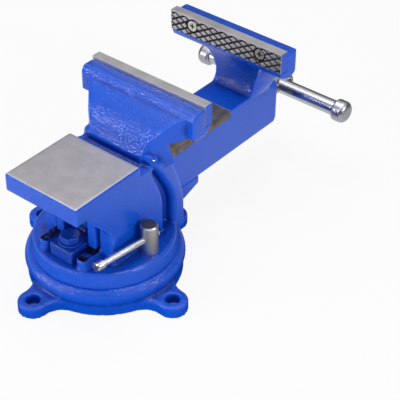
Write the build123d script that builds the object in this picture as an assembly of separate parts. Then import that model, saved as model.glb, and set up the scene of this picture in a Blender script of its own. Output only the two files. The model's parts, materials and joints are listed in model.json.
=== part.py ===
from build123d import *
import math
import os

# Bench vise on a four-lug swivel base, with an anvil behind the fixed jaw.
# Millimetres. Z is up, X runs along the jaws, and the spindle handle is at -Y.
# The origin is the centre of the lug circle, on the underside of the base.

# ---- fits ------------------------------------------------------------------
RUNNING_GAP = 0.05      # radial clearance of a turning shaft in its bore
SLIDE_GAP = 0.3         # clearance on each side of the slide in its tunnel
FACE_GAP = 0.1          # clearance between flat faces that rub
HOLE_GAP = 0.25         # radial clearance of a bolt in a clearance hole

# ---- swivel base -----------------------------------------------------------
LUG_COUNT = 4
LUG_CIRCLE_R = 66.4
LUG_HOLE_R = 5.25
LUG_END_R = 10.7
LUG_H = 9.0
LUG_BLEND_R = 15.0
LUG_EDGE_R = 1.8
SWIVEL_REST = -5.0      # the base is turned this far about Z under the vise
BASE_FOOT_R = 54.5
BASE_BULGE_R = 56.0
BASE_TOP_R = 52.0
BASE_H = 20.5
BASE_RECESS_H = 4.5     # hollow underside
BASE_WALL = 5.5
BASE_RIB_W = 5.0
PIVOT_R = 20.0          # spigot of the turntable in the base
PIVOT_DEPTH = 9.0
HUB_WALL = 5.5

# ---- circular T-slot and swivel locks --------------------------------------
LOCK_X = 39.7
LOCK_Y = -1.5
LOCK_BOLT_R = 4.0
T_HEAD_W = 14.0
T_HEAD_H = 4.5
T_SLOT_SIDE = 0.9       # clearance of the T head in the slot, each side
T_SLOT_UNDER = 1.2      # drop of the T head above the floor of the slot
T_SLOT_FLOOR = 4.0
LOCK_NUT_R = 6.2
LOCK_NUT_H = 23.0
LOCK_BAR_R = 2.6
LOCK_BAR_REACH = 47.3   # far end of the bar, from the axis of its nut
LOCK_BAR_Z = 12.0       # height of the cross bar above the turntable
LOCK_BAR_TURN = 7.0     # the bars point this far to +X, one back and one forward
LOCK_CAP_R = 3.7
LOCK_CAP_L = 6.0
LOCK_STUB_R = 3.0       # small head at the near end of the bar
LOCK_STUB_L = 0.9

# ---- turntable and body ----------------------------------------------------
DISC_R = 51.3
DISC_TOP_R = 49.5
DISC_H = 11.4
DISC_RIM_R = 2.0
WALL_HALF_W = 31.6      # outer face of the side walls and of the anvil
WALL_T = 11.6
WALL_REAR_Y = 26.0
WALL_EDGE_R = 2.0
CORBEL_REACH = 23.0     # the walls lean back this far to carry the anvil
CORE_HALF_W = 26.0      # neck between the front flange and the side walls
COLUMN_HALF_W = 24.0    # foot of the column under the fixed jaw
FLANGE_HALF_W = 33.5
FLANGE_FRONT_Y = -46.0
FLANGE_T = 11.4
FLANGE_FOOT_Z = 24.5
FLANGE_TOP_Z = 98.0
FLANGE_CORNER_R = 10.0
FLANGE_EDGE_R = 1.5     # front edges
FLANGE_ROLL_R = 4.0     # rear edges
RAIL_IN = 13.0
RAIL_OUT = 21.5
RAIL_REAR_Y = 43.5
RAIL_END_R = 3.5
LIP_L = 35.0            # reach of the lower rail in front of the flange
LIP_T = 6.0
ROOF_T = 8.0

# ---- anvil -----------------------------------------------------------------
ANVIL_TOP_Z = 97.0
ANVIL_T = 13.7
ANVIL_FRONT_Y = -3.2
ANVIL_L = 61.3
ANVIL_EDGE = 0.8
ANVIL_LOWER_R = 1.0
GROOVE_W = 9.2
GROOVE_DEPTH = 7.0

# ---- jaws ------------------------------------------------------------------
JAW_W = 100.0
JAW_OPENING = 76.0      # between the jaw plates, at rest
FIXED_FACE_Y = -54.7
JAW_TOP_Z = 127.0
JAW_H = 19.5
JAW_CHAMFER = 3.2
JAW_HEAD_T = 18.2       # thickness of the casting, plate not counted
JAW_TOP_T = 8.9
HEAD_SWELL = 1.0        # the fixed head is thicker by this much
PLATE_LIP = 1.0         # the casting under the plate stays this far behind the grip
JAW_EDGE_R = 1.2
JAW_CHIN_R = 1.6
JAW_END_R = 0.6
GUSSET_HALF_W = 42.7
PLATE_T = 7.5
PLATE_H = 15.5
PLATE_PROUD = 2.3       # the plate stands this far above the casting
SCREW_X = 30.4
SCREW_DROP = 7.1        # screw centre below the top of the plate
SCREW_HEAD_R = 4.0
SCREW_R = 2.4
SCREW_L = 14.0
SCREW_SINK_R = 5.3      # round recess in the plate for each screw head
SCREW_SINK = 0.8
PHILLIPS_W = 1.1
PHILLIPS_L = 4.6
PHILLIPS_DEPTH = 1.8

# ---- slide of the movable jaw ----------------------------------------------
SLIDE_HALF_W = 17.9
SLIDE_WALL = 7.0
SLIDE_BOTTOM_Z = 40.0
SLIDE_TOP_Z = 77.0
SLIDE_ROOF_T = 8.0
SLIDE_FRONT = 42.3      # front face of the slide, ahead of the gripping face
SLIDE_REAR = 158.7      # rear end of the slide, behind the gripping face
SLIDE_FRONT_WALL = 15.0
SLIDE_NOSE_R = 5.0
SLIDE_CHIN = 3.0
THROAT_Y = 13.3         # rear of the neck, ahead of the gripping face
LEDGE_Y = 31.5          # foot of the neck's front, ahead of the gripping face
NECK_RIDGE_FOOT = 19.5  # half width of the neck's front face at the slide
NECK_RIDGE_HEAD = 31.7  # and under the jaw head
NECK_REAR_HEAD = 26.7   # half width of the throat under the jaw head

# ---- spindle ---------------------------------------------------------------
SPINDLE_Z = 56.4
SPINDLE_R = 7.5
JOURNAL_R = 8.0
NECK_R = 8.5
FLARE_R = 10.8
FLARE_L = 4.0
HEAD_END = 74.3         # end face, ahead of the gripping face
COUNTERBORE_R = 12.3
COUNTERBORE_DEPTH = 7.0
COLLAR_R = 11.6
COLLAR_T = 2.6
THRUST_WASHER_T = 1.5
SPRING_L = 8.0
SPRING_WIRE_R = 0.9
SPRING_TURNS = 3
RETAINER_R = 10.4
RETAINER_T = 5.0
PIN_R = 1.2
SPINDLE_REAR = 152.0    # rear end of the rod, behind the gripping face

# ---- handle ----------------------------------------------------------------
BAR_R = 5.9
BAR_AXIS = 63.5         # axis of the bar, ahead of the gripping face
BAR_HALF_L = 64.1       # centre of the bar to the centre of a cap
BAR_SHIFT = 1.4         # the bar lies this far to +X at rest
CAP_R = 8.4
CAP_L = 10.9
CAP_ROUND = 4.5
CAP_HEEL_R = 2.0        # round at the mouth of the cap

# ---- main nut --------------------------------------------------------------
NUT_FOOT_HALF_W = 10.0
NUT_FOOT_H = 10.0
NUT_FOOT_REAR_Y = 43.5
NUT_BARREL_FRONT_Y = -12.0
NUT_BARREL_L = 32.0
NUT_BARREL_R = 10.4
NUT_BOLT_Y = 33.5
NUT_BOLT_R = 4.0
HEX_AF = 13.0
HEX_H = 5.0
NUT_WASHER_R = 8.5
NUT_WASHER_T = 1.0

# ---- heights and places worked out from the sizes above --------------------
DISC_BOTTOM_Z = BASE_H + FACE_GAP
DISC_TOP_Z = DISC_BOTTOM_Z + DISC_H
RAIL_TOP_Z = SLIDE_BOTTOM_Z - FACE_GAP
LOCK_CIRCLE_R = math.hypot(LOCK_X, LOCK_Y)
T_SLOT_FLOOR_Z = BASE_RECESS_H + T_SLOT_FLOOR
T_HEAD_Z = T_SLOT_FLOOR_Z + T_SLOT_UNDER
T_SLOT_ROOF_Z = T_HEAD_Z + T_HEAD_H + FACE_GAP
TUNNEL_HALF_W = SLIDE_HALF_W + SLIDE_GAP
TUNNEL_TOP_Z = SLIDE_TOP_Z + SLIDE_GAP
ANVIL_BOTTOM_Z = ANVIL_TOP_Z - ANVIL_T
ANVIL_REAR_Y = ANVIL_FRONT_Y + ANVIL_L
COLUMN_REAR_Y = ANVIL_FRONT_Y - GROOVE_W
FLANGE_REAR_Y = FLANGE_FRONT_Y + FLANGE_T
PLATE_TOP_Z = JAW_TOP_Z + PLATE_PROUD
PLATE_BOTTOM_Z = PLATE_TOP_Z - PLATE_H
JAW_BOTTOM_Z = JAW_TOP_Z - JAW_H
JAW_REAR_Y = FIXED_FACE_Y + JAW_HEAD_T + HEAD_SWELL
HEAD_SLOPE_Z = JAW_TOP_Z - 4.5
GROOVE_Z = ANVIL_TOP_Z - GROOVE_DEPTH
GRIP_Y = FIXED_FACE_Y - JAW_OPENING
SLIDE_FRONT_Y = GRIP_Y - SLIDE_FRONT
SLIDE_REAR_Y = GRIP_Y + SLIDE_REAR
COUNTERBORE_FLOOR_Y = SLIDE_FRONT_Y + COUNTERBORE_DEPTH
FRONT_WALL_REAR_Y = SLIDE_FRONT_Y + SLIDE_FRONT_WALL
BAR_Y = GRIP_Y - BAR_AXIS
LOCK_BAR_AXIS_Z = DISC_TOP_Z + LOCK_BAR_Z


def between(low, high, share):
    """Value that lies the given share of the way from low to high."""
    return low + (high - low) * share


def flange_z(share):
    """Height on the flange, from its foot to its crown."""
    return between(FLANGE_FOOT_Z, FLANGE_TOP_Z, share)


def wall_z(share):
    """Height on the side walls, from the turntable to the floor of the groove."""
    return between(DISC_TOP_Z, GROOVE_Z, share)


def neck_z(share):
    """Height on the movable jaw's neck, from the slide to the jaw head."""
    return between(SLIDE_TOP_Z, JAW_BOTTOM_Z, share)


def yz_prism(edges, half_width):
    """Extrude a closed outline drawn in Y and Z to both sides of X = 0."""
    return extrude(make_face([Plane.YZ * edge for edge in edges]), half_width, both=True)


def polygon_edges(points):
    """Straight edges that close a list of points."""
    return Polyline(*points, close=True).edges()


def rounded_prism(points, radii, half_width):
    """Like yz_prism, for (y, z, key) corners; radii gives a radius for each key."""
    face = make_face(Polyline(*[(y, z) for y, z, _ in points], close=True))
    for key, radius in radii.items():
        named = [(y, z) for y, z, k in points if k == key]
        corners = [v for v in face.vertices()
                   if any(math.hypot(v.X - y, v.Y - z) < 0.01 for y, z in named)]
        face = fillet(corners, radius)
    return extrude(Plane.YZ * face, half_width, both=True)


def block(x0, x1, y0, y1, z0, z1):
    """Box between two corners."""
    return Pos((x0 + x1) / 2, (y0 + y1) / 2, (z0 + z1) / 2) * Box(x1 - x0, y1 - y0, z1 - z0)


def rod_y(radius, y0, y1, x=0.0, z=SPINDLE_Z):
    """Cylinder along Y from y0 to y1."""
    return Pos(x, (y0 + y1) / 2, z) * Rot(90, 0, 0) * Cylinder(radius, y1 - y0)


def rod_z(radius, z0, z1, x=0.0, y=0.0):
    """Cylinder along Z from z0 to z1."""
    return Pos(x, y, (z0 + z1) / 2) * Cylinder(radius, z1 - z0)


def ring_section(points):
    """Revolve a closed outline of (radius, height) points about Z."""
    return revolve(make_face(Plane.XZ * Polyline(*points, close=True)), Axis.Z)


# ---- swivel base -----------------------------------------------------------
def lug_angles():
    return [SWIVEL_REST + 360.0 / LUG_COUNT * i for i in range(LUG_COUNT)]


def base_foot():
    """Foot plate: a disc that flows into the drilled bolt lugs through concave blends."""
    outline = Circle(BASE_FOOT_R)
    for angle in lug_angles():
        arm = Pos(LUG_CIRCLE_R / 2, 0) * Rectangle(LUG_CIRCLE_R, 2 * LUG_END_R)
        outline += Rot(0, 0, angle) * (arm + Pos(LUG_CIRCLE_R, 0) * Circle(LUG_END_R))
    inner = [v for v in outline.vertices() if abs(math.hypot(v.X, v.Y) - BASE_FOOT_R) < 0.01]
    reach = LUG_CIRCLE_R ** 2 / (BASE_FOOT_R - LUG_END_R) - BASE_FOOT_R - LUG_END_R
    outline = fillet(inner, min(LUG_BLEND_R, 0.95 * reach / 2))
    foot = extrude(outline, LUG_H)
    foot = fillet(foot.edges().group_by(Axis.Z)[-1], LUG_EDGE_R)
    for angle in lug_angles():
        foot -= Rot(0, 0, angle) * rod_z(LUG_HOLE_R, -1.0, LUG_H + 1, LUG_CIRCLE_R)
    return foot


def base_ring():
    """Bulging ring that carries the turntable."""
    neck_r = BASE_FOOT_R - 0.6
    neck_z = LUG_H - 0.3
    bulge_z = neck_z + (BASE_H - neck_z) * 0.42
    side = ThreePointArc((neck_r, neck_z), (BASE_BULGE_R, bulge_z), (BASE_TOP_R, BASE_H))
    rest = Polyline((BASE_TOP_R, BASE_H), (0, BASE_H), (0, 0), (neck_r, 0), (neck_r, neck_z))
    return revolve(make_face(Plane.XZ * (side + rest)), Axis.Z)


def base_recess():
    """Hollow underside between the rim and the hub, crossed by ribs."""
    outer = BASE_FOOT_R - BASE_WALL
    inner = PIVOT_R + HUB_WALL
    hollow = rod_z(outer, -1.0, BASE_RECESS_H) - rod_z(inner, -1.0, BASE_RECESS_H)
    for angle in lug_angles():
        rib = block(inner - 1, outer + 1, -BASE_RIB_W / 2, BASE_RIB_W / 2, -1.0, BASE_RECESS_H)
        hollow -= Rot(0, 0, angle) * rib
    return hollow


def t_slot():
    """Circular T-slot with two windows in its floor, where the bolts go in."""
    half_head = T_HEAD_W / 2 + T_SLOT_SIDE
    half_neck = LOCK_BOLT_R + HOLE_GAP
    slot = ring_section([
        (LOCK_CIRCLE_R - half_head, T_SLOT_FLOOR_Z), (LOCK_CIRCLE_R + half_head, T_SLOT_FLOOR_Z),
        (LOCK_CIRCLE_R + half_head, T_SLOT_ROOF_Z), (LOCK_CIRCLE_R + half_neck, T_SLOT_ROOF_Z),
        (LOCK_CIRCLE_R + half_neck, BASE_H + 1), (LOCK_CIRCLE_R - half_neck, BASE_H + 1),
        (LOCK_CIRCLE_R - half_neck, T_SLOT_ROOF_Z), (LOCK_CIRCLE_R - half_head, T_SLOT_ROOF_Z)])
    window = block(LOCK_CIRCLE_R - half_head, LOCK_CIRCLE_R + half_head,
                   -half_head, half_head, -1.0, T_SLOT_FLOOR_Z + 0.5)
    for turn in (45.0, 225.0):
        slot += Rot(0, 0, SWIVEL_REST + turn) * window
    return slot


def make_swivel_base():
    base = base_foot() + base_ring() - base_recess() - t_slot()
    return base - rod_z(PIVOT_R + RUNNING_GAP, -1.0, BASE_H + 1)


# ---- vise body -------------------------------------------------------------
def turntable():
    """Disc with a rounded rim and the spigot that centres it in the base."""
    disc = ring_section([
        (0, DISC_BOTTOM_Z), (DISC_R, DISC_BOTTOM_Z), (DISC_R, DISC_BOTTOM_Z + 1.5),
        (DISC_TOP_R, DISC_TOP_Z), (0, DISC_TOP_Z)])
    disc = fillet(disc.edges().group_by(Axis.Z)[-1], DISC_RIM_R)
    return disc + rod_z(PIVOT_R, DISC_BOTTOM_Z - PIVOT_DEPTH, DISC_BOTTOM_Z + 1)


def flange_front_edge():
    """Front outline of the flange: upright at the foot, leaning back above."""
    return [(FLANGE_FRONT_Y, flange_z(0.237)), (FLANGE_FRONT_Y + 4.4, flange_z(0.553)),
            (FLANGE_FRONT_Y + 14.0, flange_z(0.87)), (FLANGE_FRONT_Y + 19.0, flange_z(1.073))]


def flange():
    """Thick front rib that holds the mouth of the tunnel."""
    front = flange_front_edge()
    rear = [(FLANGE_REAR_Y, flange_z(0.294)), (FLANGE_REAR_Y + 3.4, flange_z(0.52)),
            (FLANGE_REAR_Y + 14.0, flange_z(0.78)), (FLANGE_REAR_Y + 24.4, FLANGE_TOP_Z)]
    edges = [
        Line((FLANGE_FRONT_Y, FLANGE_FOOT_Z), front[0]),
        Spline(*front, tangents=((0, 1), (0.2, 1))),
        Line(front[-1], rear[-1]),
        Spline(*reversed(rear), tangents=((-0.6, -1), (0, -1))),
        Line(rear[0], (FLANGE_REAR_Y, FLANGE_FOOT_Z)),
        Line((FLANGE_REAR_Y, FLANGE_FOOT_Z), (FLANGE_FRONT_Y, FLANGE_FOOT_Z))]
    rib = yz_prism(edges, FLANGE_HALF_W)
    window_h = 2 * (FLANGE_TOP_Z - FLANGE_FOOT_Z)
    window = RectangleRounded(2 * FLANGE_HALF_W, window_h, FLANGE_CORNER_R)
    outline = extrude(Plane.XZ * Pos(0, FLANGE_TOP_Z - window_h / 2) * window, 100, both=True)
    rib &= outline
    rib = fillet(flange_rim(rib, -1), FLANGE_EDGE_R)
    return fillet(flange_rim(rib, 1), FLANGE_ROLL_R)


def flange_rim(rib, facing):
    """Edges between the flange's sides and its front (-1) or rear (1), foot and crown left out."""
    sides = rib.faces().filter_by(lambda face: abs(face.normal_at().Y) < 0.1)
    shared = [edge for face in rib.faces() if face.normal_at().Y * facing > 0.1 for edge in face.edges()]
    rim = [edge for face in sides for edge in face.edges() if any(edge.is_same(other) for other in shared)]
    return [edge for edge in rim if edge.center().Z > FLANGE_FOOT_Z + 0.1
            and edge.center().Y < FLANGE_REAR_Y + 22.0]


def core():
    """Narrow neck behind the flange and the roof under the anvil."""
    neck = block(-CORE_HALF_W, CORE_HALF_W, FLANGE_FRONT_Y + 1, -16.0, FLANGE_FOOT_Z, TUNNEL_TOP_Z + ROOF_T)
    roof = block(-WALL_HALF_W + 1, WALL_HALF_W - 1, -16.5, WALL_REAR_Y, TUNNEL_TOP_Z, GROOVE_Z)
    return (neck & yz_prism(polygon_edges([
        (FLANGE_FRONT_Y + 1, FLANGE_FOOT_Z), (FLANGE_FRONT_Y + 1, wall_z(0.4)),
        (FLANGE_FRONT_Y + 15, wall_z(0.965)), (0, wall_z(0.965)), (0, FLANGE_FOOT_Z)]), CORE_HALF_W)) + roof


def side_walls():
    """Two upright walls that carry the anvil, cut back under its tail."""
    front = [(-25.5, wall_z(0.31)), (-22.4, wall_z(0.6)), (-16.6, wall_z(0.81)), (-11.5, GROOVE_Z)]
    corbel_y = WALL_REAR_Y + CORBEL_REACH
    edges = [
        Line((-25.5, DISC_TOP_Z - 1), front[0]),
        Spline(*front, tangents=((0, 1), (0.4, 1))),
        Line(front[-1], (corbel_y + 3, GROOVE_Z)),
        Line((corbel_y + 3, GROOVE_Z), (corbel_y, ANVIL_BOTTOM_Z)),
        Line((corbel_y, ANVIL_BOTTOM_Z), (WALL_REAR_Y, wall_z(0.45))),
        Line((WALL_REAR_Y, wall_z(0.45)), (WALL_REAR_Y, DISC_TOP_Z - 1)),
        Line((WALL_REAR_Y, DISC_TOP_Z - 1), (-25.5, DISC_TOP_Z - 1))]
    walls = yz_prism(edges, WALL_HALF_W) - block(
        -WALL_HALF_W + WALL_T, WALL_HALF_W - WALL_T, -40, 80, DISC_TOP_Z - 5, TUNNEL_TOP_Z)
    outer = [edge for edge in walls.edges().filter_by(Axis.Z).group_by(Axis.Y)[-1]
             if abs(edge.center().X) > WALL_HALF_W - 0.1]
    return fillet(outer, WALL_EDGE_R)


def anvil():
    slab = block(-WALL_HALF_W, WALL_HALF_W, ANVIL_FRONT_Y, ANVIL_REAR_Y, ANVIL_BOTTOM_Z, ANVIL_TOP_Z)
    slab = fillet(slab.edges().group_by(Axis.Z)[0].group_by(Axis.Y)[-1], ANVIL_LOWER_R)
    return chamfer(slab.edges().group_by(Axis.Z)[-1], ANVIL_EDGE)


def fixed_column():
    """Leaning column that carries the fixed jaw, flared out to the jaw ends."""
    front = flange_front_edge()
    # shares of the way back from the jaw, and of the height above the anvil, with the half width there
    lean = [(0.0, 0.85, GUSSET_HALF_W), (0.45, 0.60, 34.0), (0.71, 0.39, 29.0), (0.83, 0.20, 25.0),
            (0.90, 0.07, COLUMN_HALF_W), (1.0, -0.04, COLUMN_HALF_W)]
    rear = [(between(JAW_REAR_Y, COLUMN_REAR_Y, back), between(ANVIL_TOP_Z, JAW_TOP_Z, up)) for back, up, _ in lean]
    top = (JAW_REAR_Y - 6, HEAD_SLOPE_Z)
    foot = (COLUMN_REAR_Y, GROOVE_Z - 1)
    chest = (front[2][0] + 1, front[2][1])
    edges = [
        Line(top, rear[0]), Spline(*rear, tangents=((1, -0.6), (0.6, -1))), Line(rear[-1], foot),
        Polyline(foot, (COLUMN_REAR_Y - 5.0, TUNNEL_TOP_Z + 5.0), chest, front[3], (JAW_REAR_Y - 6, JAW_BOTTOM_Z), top)]
    column = extrude(make_face([Plane.YZ * edge for part in edges for edge in part.edges()]), GUSSET_HALF_W, both=True)
    right = [(GUSSET_HALF_W, JAW_REAR_Y - 10)] + [(half, y) for (y, _), (_, _, half) in zip(rear, lean)]
    right[-1] = (COLUMN_HALF_W, COLUMN_REAR_Y + 0.1)
    left = [(-x, y) for x, y in reversed(right)]
    return column & extrude(make_face(Polyline(*right, *left, close=True)), 200, both=True)


def jaw_head(face_y, outward, crown, slant, rear):
    """Full-width jaw bar with the seat of its plate, for a grip at face_y.

    The flat top reaches crown behind the grip and slants down by slant to rear.
    """
    outline = [
        (PLATE_T, JAW_TOP_Z, ""), (crown, JAW_TOP_Z, "top"), (rear, JAW_TOP_Z - slant, "top"),
        (rear, JAW_BOTTOM_Z + 1.0, "chin"), (JAW_HEAD_T - JAW_CHAMFER, JAW_BOTTOM_Z - 1.0, "chin"),
        (PLATE_LIP + 7.0, JAW_BOTTOM_Z - 1.2, "chin"), (PLATE_LIP + 2.0, JAW_BOTTOM_Z + 0.8, "chin"),
        (PLATE_LIP, PLATE_BOTTOM_Z - 1.0, ""), (PLATE_LIP, PLATE_BOTTOM_Z, ""), (PLATE_T, PLATE_BOTTOM_Z, "")]
    corners = [(face_y + outward * depth, height, key) for depth, height, key in outline]
    head = rounded_prism(corners, {"top": JAW_EDGE_R * min(1.0, 0.4 * slant), "chin": JAW_CHIN_R}, JAW_W / 2)
    return fillet(head.faces().filter_by(Axis.X).edges(), JAW_END_R)


def screw_holes(face_y, outward):
    """Threaded holes for the two plate screws, drilled in from the plate."""
    holes = []
    for x in (-SCREW_X, SCREW_X):
        y0, y1 = sorted((face_y + outward * (PLATE_T - 1), face_y + outward * (SCREW_L + 1)))
        holes.append(rod_y(SCREW_R, y0, y1, x, PLATE_TOP_Z - SCREW_DROP))
    return holes


def lower_rails():
    """Rails under the slide walls, and the lip that carries them forward."""
    rails = block(RAIL_IN, RAIL_OUT, FLANGE_REAR_Y, RAIL_REAR_Y, DISC_TOP_Z - 1, RAIL_TOP_Z)
    rails = fillet(rails.edges().filter_by(Axis.Z).group_by(Axis.Y)[-1], RAIL_END_R)
    rails += mirror(rails, Plane.YZ)
    tip_y = FLANGE_FRONT_Y - LIP_L
    lip = yz_prism(polygon_edges([
        (FLANGE_REAR_Y - 1, RAIL_TOP_Z), (tip_y, RAIL_TOP_Z), (tip_y, RAIL_TOP_Z - LIP_T),
        (tip_y + 15.5, RAIL_TOP_Z - LIP_T - 5.2), (FLANGE_FRONT_Y, FLANGE_FOOT_Z),
        (FLANGE_REAR_Y - 1, FLANGE_FOOT_Z)]), SLIDE_HALF_W)
    return rails + lip


def make_vise_body():
    body = turntable() + side_walls() + core() + flange() + fixed_column() + anvil()
    body += jaw_head(FIXED_FACE_Y, 1, PLATE_T + JAW_TOP_T, 4.0, JAW_HEAD_T + HEAD_SWELL)
    tunnel = block(-TUNNEL_HALF_W, TUNNEL_HALF_W, FLANGE_FRONT_Y - 1, -15.0, DISC_TOP_Z, TUNNEL_TOP_Z)
    body -= tunnel
    body += lower_rails()
    rod_way = block(-RAIL_IN, RAIL_IN, FLANGE_FRONT_Y - LIP_L - 1, -15.0, DISC_TOP_Z, RAIL_TOP_Z + 1)
    body -= rod_way & block(-RAIL_IN, RAIL_IN, FLANGE_FRONT_Y + 3, -15.0, DISC_TOP_Z, RAIL_TOP_Z + 1)
    for hole in screw_holes(FIXED_FACE_Y, 1):
        body -= hole
    for x in (-LOCK_X, LOCK_X):
        body -= rod_z(LOCK_BOLT_R + HOLE_GAP, DISC_BOTTOM_Z - 1, DISC_TOP_Z + 1, x, LOCK_Y)
    body -= rod_z(NUT_BOLT_R, DISC_BOTTOM_Z - PIVOT_DEPTH - 1, DISC_TOP_Z + 1, 0, NUT_BOLT_Y)
    return body


# ---- movable jaw -----------------------------------------------------------
def neck_section(height):
    """Plan outline of the neck at a height, wider towards the jaw head."""
    share = (height - SLIDE_TOP_Z) / (JAW_BOTTOM_Z - SLIDE_TOP_Z)
    ridge = between(NECK_RIDGE_FOOT, NECK_RIDGE_HEAD, share)
    outer = min(max(between(SLIDE_HALF_W, GUSSET_HALF_W, share), ridge), GUSSET_HALF_W)
    rear = between(SLIDE_HALF_W, NECK_REAR_HEAD, max(0.0, (share - 0.36) / 0.64))
    front_y = GRIP_Y - LEDGE_Y + 7.3 * share
    rear_y = GRIP_Y - THROAT_Y
    side_y = min(rear_y - 4.0, front_y + 4.0)
    right = [(rear, GRIP_Y - 1), (rear, rear_y), (outer, side_y), (ridge, front_y)]
    left = [(-x, y) for x, y in reversed(right)]
    return Plane.XY.offset(height) * make_face(Polyline(*right, *left, close=True))


def movable_neck():
    """Neck from the slide up to the jaw head, with a curved throat behind."""
    heights = [SLIDE_TOP_Z - 2, neck_z(0.36), neck_z(0.69), JAW_BOTTOM_Z, HEAD_SLOPE_Z]
    neck = loft([neck_section(h) for h in heights], ruled=True)
    throat = [(GRIP_Y - 9.0, SLIDE_TOP_Z), (GRIP_Y - 12.4, neck_z(0.16)), (GRIP_Y - THROAT_Y, neck_z(0.39)),
              (GRIP_Y - 12.0, neck_z(0.69)), (GRIP_Y - 6.0, JAW_BOTTOM_Z)]
    seat_y = GRIP_Y - PLATE_T - 0.5
    edges = [
        Spline(*throat),
        Line(throat[-1], (seat_y, PLATE_BOTTOM_Z - 0.5)),
        Line((seat_y, PLATE_BOTTOM_Z - 0.5), (seat_y, HEAD_SLOPE_Z)),
        Line((seat_y, HEAD_SLOPE_Z), (GRIP_Y - 60, HEAD_SLOPE_Z)),
        Line((GRIP_Y - 60, HEAD_SLOPE_Z), (GRIP_Y - 60, SLIDE_TOP_Z - 2)),
        Line((GRIP_Y - 60, SLIDE_TOP_Z - 2), (GRIP_Y - 8.0, SLIDE_TOP_Z - 2)),
        Line((GRIP_Y - 8.0, SLIDE_TOP_Z - 2), throat[0])]
    return neck & yz_prism(edges, 60)


def slide_beam():
    """Channel-shaped slide, closed by a wall at the front for the spindle."""
    y0, y1 = SLIDE_FRONT_Y, SLIDE_REAR_Y
    z0, z1 = SLIDE_BOTTOM_Z, SLIDE_TOP_Z
    chin = SLIDE_CHIN
    nose = SLIDE_NOSE_R
    beam = yz_prism([
        Line((y0, z0 + chin), (y0, z1 - nose)),
        RadiusArc((y0, z1 - nose), (y0 + nose, z1), nose),
        Line((y0 + nose, z1), (y1, z1)),
        Line((y1, z1), (y1, z0)),
        Line((y1, z0), (y0 + 0.7 * chin, z0)),
        Line((y0 + 0.7 * chin, z0), (y0, z0 + chin))], SLIDE_HALF_W)
    inner = SLIDE_HALF_W - SLIDE_WALL
    beam -= block(-inner, inner, FRONT_WALL_REAR_Y, SLIDE_REAR_Y + 1,
                  SLIDE_BOTTOM_Z - 1, SLIDE_TOP_Z - SLIDE_ROOF_T)
    beam -= rod_y(COUNTERBORE_R, SLIDE_FRONT_Y - 1, COUNTERBORE_FLOOR_Y)
    beam -= rod_y(JOURNAL_R + RUNNING_GAP, SLIDE_FRONT_Y - 1, FRONT_WALL_REAR_Y + 1)
    return beam


def make_movable_jaw():
    jaw = slide_beam() + movable_neck() + jaw_head(GRIP_Y, -1, JAW_HEAD_T - 1.0, 1.0, JAW_HEAD_T)
    for hole in screw_holes(GRIP_Y, -1):
        jaw -= hole
    return jaw


# ---- jaw plates and their screws -------------------------------------------
def screw_cone(face_y, outward, x, gap):
    """Countersunk head at the bottom of its recess."""
    depth = SCREW_HEAD_R + gap - SCREW_R
    cone = Cone(SCREW_R, SCREW_HEAD_R + gap, depth)
    y = face_y + outward * (SCREW_SINK + depth / 2)
    return Pos(x, y, PLATE_TOP_Z - SCREW_DROP) * Rot(90 * outward, 0, 0) * cone


def make_plate(face_y, outward):
    y0, y1 = sorted((face_y, face_y + outward * PLATE_T))
    plate = block(-JAW_W / 2, JAW_W / 2, y0, y1, PLATE_BOTTOM_Z, PLATE_TOP_Z)
    plate = chamfer(plate.edges().filter_by(Axis.X), 0.4)
    for x in (-SCREW_X, SCREW_X):
        recess = sorted((face_y - outward, face_y + outward * SCREW_SINK))
        plate -= rod_y(SCREW_SINK_R, *recess, x, PLATE_TOP_Z - SCREW_DROP)
        plate -= screw_cone(face_y, outward, x, HOLE_GAP)
        plate -= rod_y(SCREW_R + HOLE_GAP, y0 - 1, y1 + 1, x, PLATE_TOP_Z - SCREW_DROP)
    return plate


def make_plate_screws(face_y, outward):
    screws = []
    for x in (-SCREW_X, SCREW_X):
        z = PLATE_TOP_Z - SCREW_DROP
        head = screw_cone(face_y, outward, x, 0.0)
        y0, y1 = sorted((face_y + outward * (SCREW_SINK + 0.8), face_y + outward * SCREW_L))
        screw = head + rod_y(SCREW_R, y0, y1, x, z)
        slot_y = sorted((face_y - outward, face_y + outward * (SCREW_SINK + PHILLIPS_DEPTH)))
        for wide, high in ((PHILLIPS_L, PHILLIPS_W), (PHILLIPS_W, PHILLIPS_L)):
            screw -= block(x - wide / 2, x + wide / 2, *slot_y, z - high / 2, z + high / 2)
        screws.append(screw)
    return Compound(screws)


# ---- spindle and what sits on it -------------------------------------------
def make_spindle():
    end_y = GRIP_Y - HEAD_END
    collar_rear = COUNTERBORE_FLOOR_Y - THRUST_WASHER_T - FACE_GAP
    collar_front = collar_rear - COLLAR_T
    outline = [
        (0, end_y), (FLARE_R - 0.8, end_y), (FLARE_R, end_y + 0.8), (FLARE_R, end_y + FLARE_L - 1.5),
        (NECK_R, end_y + FLARE_L + 0.8), (NECK_R, collar_front), (COLLAR_R, collar_front),
        (COLLAR_R, collar_rear), (JOURNAL_R, collar_rear), (JOURNAL_R, FRONT_WALL_REAR_Y + 0.5),
        (SPINDLE_R, FRONT_WALL_REAR_Y + 0.5), (SPINDLE_R, GRIP_Y + SPINDLE_REAR - 1.5),
        (SPINDLE_R - 1.5, GRIP_Y + SPINDLE_REAR), (0, GRIP_Y + SPINDLE_REAR)]
    profile = make_face(Polyline(*outline, close=True))
    spindle = Pos(0, 0, SPINDLE_Z) * revolve(profile, Axis.Y)
    spindle -= Pos(0, BAR_Y, SPINDLE_Z) * Rot(0, 90, 0) * Cylinder(BAR_R + RUNNING_GAP, 4 * NECK_R)
    pin_y = retainer_y()
    spindle -= rod_z(PIN_R, SPINDLE_Z - 20, SPINDLE_Z + 20, 0, pin_y)
    return spindle


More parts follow.
